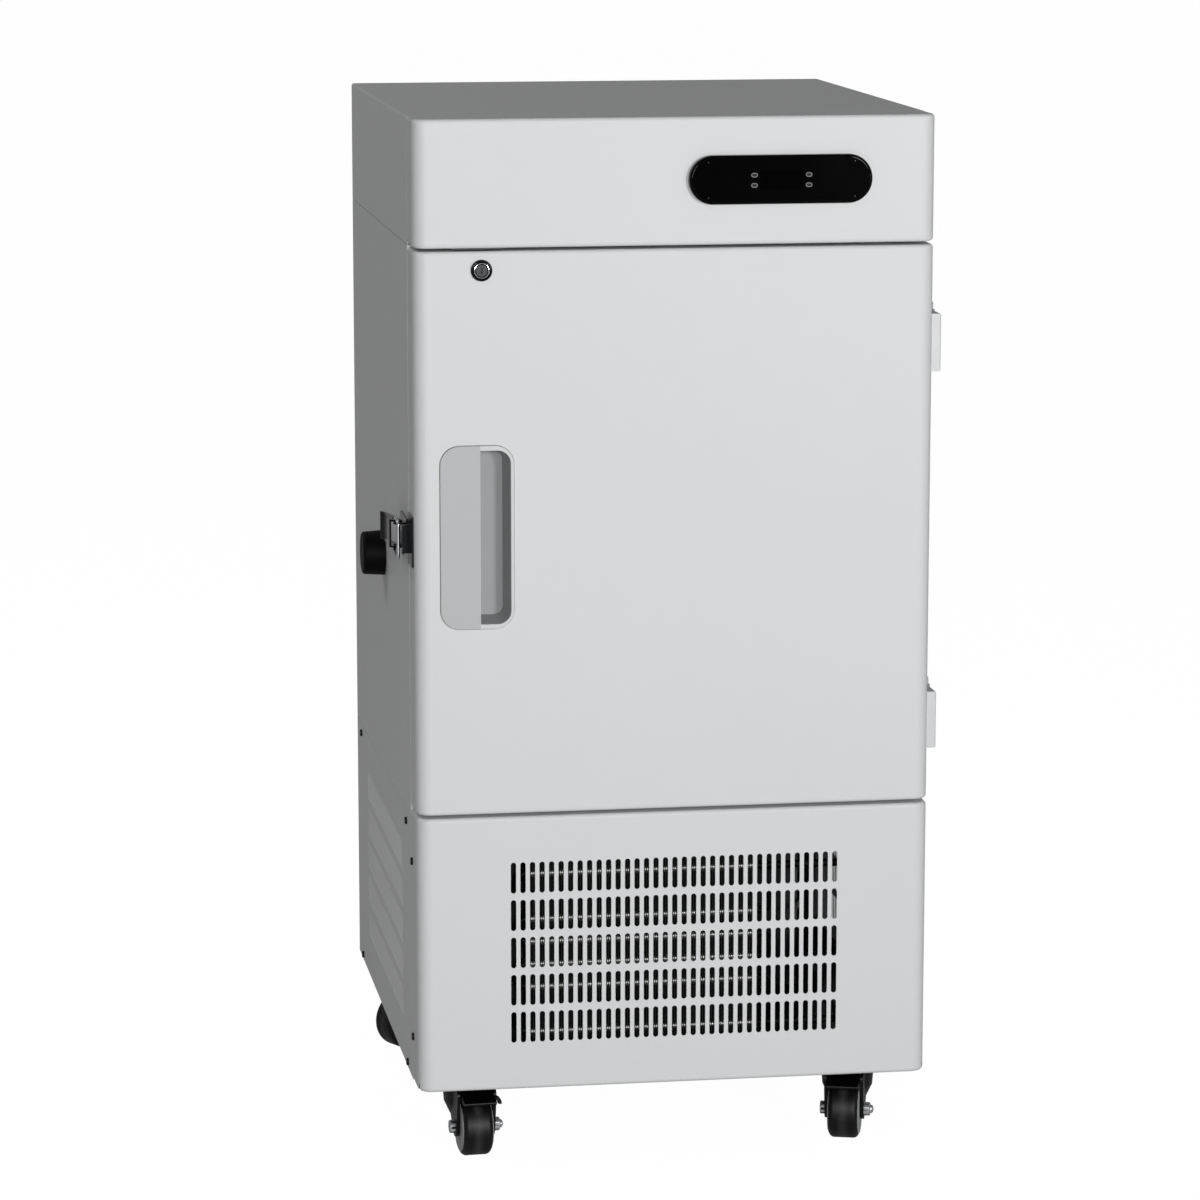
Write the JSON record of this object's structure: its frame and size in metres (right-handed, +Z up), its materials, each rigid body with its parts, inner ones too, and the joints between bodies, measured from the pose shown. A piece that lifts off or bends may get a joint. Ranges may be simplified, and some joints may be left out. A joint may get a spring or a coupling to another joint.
{
  "type": "ultra low temperature freezer",
  "caption": "Upright ultra low temperature freezer on swivel casters, with an insulated hinged door, recessed handle, draw latch, display pod and slotted machine compartment.",
  "frame": {"origin": "on the floor, under the middle of the cabinet", "axes": "+Z up, the door faces -Y, its hinges are at +X"},
  "size_m": [0.5768, 0.6172, 1.1005],
  "materials": {
    "white_paint": "powder coat, fine orange peel",
    "grey_sheet": "galvanised sheet",
    "foam": "rigid polyurethane foam",
    "stainless": "brushed stainless sheet",
    "white_plastic": "formed ABS",
    "gasket_rubber": "soft silicone",
    "black_rubber": "moulded rubber",
    "copper": "drawn copper tube",
    "black_gloss": "glossy moulded cover",
    "dark_window": "tinted acrylic",
    "black_key": "moulded key",
    "circuit_board": "solder mask",
    "black_enamel": "gloss enamel",
    "black_plastic": "moulded nylon",
    "grey_plastic": "moulded ABS, light texture",
    "chrome": "plated die casting",
    "dark_screw": "blackened steel",
    "zinc_plate": "zinc plated",
    "caster_black": "black coated pressing",
    "wheel_black": "moulded wheel"
  },
  "bodies": {
    "cabinet": {"cabinet_shell": "white_paint", "top_cover": "white_paint", "control_fascia": "white_paint", "grille_panel": "white_paint", "left_service_panel": "white_paint", "right_service_panel": "white_paint", "rear_panel": "grey_sheet", "rear_grille_panel": "grey_sheet", "base_frame": "grey_sheet", "fan_shroud": "grey_sheet", "condenser_core": "grey_sheet", "insulation_foam": "foam", "chamber_liner": "stainless", "shelves": "stainless", "shelf_rails": "stainless", "temperature_probe": "stainless", "throat_frame": "white_plastic", "port_sleeve": "white_plastic", "compressor_feet": "black_rubber", "evaporator_coil": "copper", "condenser_tubes": "copper", "refrigerant_lines": "copper", "display_pod": "black_gloss", "display_window": "dark_window", "controller_board": "circuit_board", "compressor": "black_enamel", "fan_motor": "black_enamel", "mains_inlet": "black_plastic", "hinge_fixed_leaves": "chrome", "latch_base": "chrome", "panel_screws": "dark_screw", "caster_plates": "zinc_plate"},
    "door": {"door_skin": "white_paint", "door_foam": "foam", "door_liner": "white_plastic", "door_gasket": "gasket_rubber", "handle_frame": "grey_plastic", "handle_cup": "grey_plastic", "lock_barrel": "chrome", "hinge_door_leaves": "chrome", "latch_keeper": "chrome"},
    "lock": {"lock_core": "chrome"},
    "latch_lever": {"latch_lever": "chrome"},
    "latch_bail": {"latch_bail": "chrome"},
    "stopper": {"port_stopper": "black_rubber"},
    "fan": {"fan_blade": "black_plastic"},
    "key_1": {"key_1": "black_key"},
    "key_2": {"key_2": "black_key"},
    "key_3": {"key_3": "black_key"},
    "key_4": {"key_4": "black_key"},
    "fork_fl": {"caster_fork_fl": "caster_black"},
    "wheel_fl": {"caster_wheel_fl": "wheel_black"},
    "pedal_fl": {"brake_pedal_fl": "caster_black"},
    "fork_fr": {"caster_fork_fr": "caster_black"},
    "wheel_fr": {"caster_wheel_fr": "wheel_black"},
    "pedal_fr": {"brake_pedal_fr": "caster_black"},
    "fork_rl": {"caster_fork_rl": "caster_black"},
    "wheel_rl": {"caster_wheel_rl": "wheel_black"},
    "fork_rr": {"caster_fork_rr": "caster_black"},
    "wheel_rr": {"caster_wheel_rr": "wheel_black"}
  },
  "joints": [
    {"name": "door_swing", "type": "hinge", "parent": "cabinet", "child": "door", "pos_m": [0.2765, -0.247, 0.675], "axis": [0, 0, 1], "range_deg": [0, 120]},
    {"name": "lock_turn", "type": "hinge", "parent": "door", "child": "lock", "pos_m": [-0.2006, -0.29, 0.9477], "axis": [0, 1, 0], "range_deg": [0, 90]},
    {"name": "latch_lever_swing", "type": "hinge", "parent": "cabinet", "child": "latch_lever", "pos_m": [-0.279, -0.2275, 0.668], "axis": [0, 0, 1], "range_deg": [0, 120]},
    {"name": "latch_bail_swing", "type": "hinge", "parent": "latch_lever", "child": "latch_bail", "pos_m": [-0.2825, -0.2205, 0.668], "axis": [0, 0, 1], "range_deg": [-120, 0]},
    {"name": "stopper_pull", "type": "slide", "parent": "cabinet", "child": "stopper", "axis": [-1, 0, 0], "range_m": [0, 0.07]},
    {"name": "fan_spin", "type": "hinge", "parent": "cabinet", "child": "fan", "pos_m": [-0.03, -0.22, 0.22905], "axis": [0, 1, 0], "continuous": true},
    {"name": "key_1_press", "type": "slide", "parent": "cabinet", "child": "key_1", "axis": [0, 1, 0], "range_m": [0, 0.0005], "stiffness_N_per_m": 400},
    {"name": "key_2_press", "type": "slide", "parent": "cabinet", "child": "key_2", "axis": [0, 1, 0], "range_m": [0, 0.0005], "stiffness_N_per_m": 400},
    {"name": "key_3_press", "type": "slide", "parent": "cabinet", "child": "key_3", "axis": [0, 1, 0], "range_m": [0, 0.0005], "stiffness_N_per_m": 400},
    {"name": "key_4_press", "type": "slide", "parent": "cabinet", "child": "key_4", "axis": [0, 1, 0], "range_m": [0, 0.0005], "stiffness_N_per_m": 400},
    {"name": "swivel_fl", "type": "hinge", "parent": "cabinet", "child": "fork_fl", "pos_m": [-0.206, -0.2085, 0.075], "axis": [0, 0, 1], "continuous": true},
    {"name": "roll_fl", "type": "hinge", "parent": "fork_fl", "child": "wheel_fl", "pos_m": [-0.20429, -0.23645, 0.0315], "axis": [0.9981, 0.061, 0], "continuous": true},
    {"name": "pedal_fl_press", "type": "hinge", "parent": "fork_fl", "child": "pedal_fl", "pos_m": [-0.2035, -0.24942, 0.068], "axis": [0.9981, 0.061, 0], "range_deg": [0, 12]},
    {"name": "swivel_fr", "type": "hinge", "parent": "cabinet", "child": "fork_fr", "pos_m": [0.206, -0.2085, 0.075], "axis": [0, 0, 1], "continuous": true},
    {"name": "roll_fr", "type": "hinge", "parent": "fork_fr", "child": "wheel_fr", "pos_m": [0.19781, -0.23528, 0.0315], "axis": [0.9563, -0.2924, 0], "continuous": true},
    {"name": "pedal_fr_press", "type": "hinge", "parent": "fork_fr", "child": "pedal_fr", "pos_m": [0.19401, -0.24771, 0.068], "axis": [0.9563, -0.2924, 0], "range_deg": [0, 12]},
    {"name": "swivel_rl", "type": "hinge", "parent": "cabinet", "child": "fork_rl", "pos_m": [-0.206, 0.2085, 0.075], "axis": [0, 0, 1], "continuous": true},
    {"name": "roll_rl", "type": "hinge", "parent": "fork_rl", "child": "wheel_rl", "pos_m": [-0.23025, 0.1945, 0.0315], "axis": [0.5, -0.866, 0], "continuous": true},
    {"name": "swivel_rr", "type": "hinge", "parent": "cabinet", "child": "fork_rr", "pos_m": [0.206, 0.2085, 0.075], "axis": [0, 0, 1], "continuous": true},
    {"name": "roll_rr", "type": "hinge", "parent": "fork_rr", "child": "wheel_rr", "pos_m": [0.19417, 0.18312, 0.0315], "axis": [0.9063, -0.4226, 0], "continuous": true}
  ],
  "couplings": [
    {"joint": "latch_bail_swing", "follows": "latch_lever_swing", "ratio": -1}
  ]
}
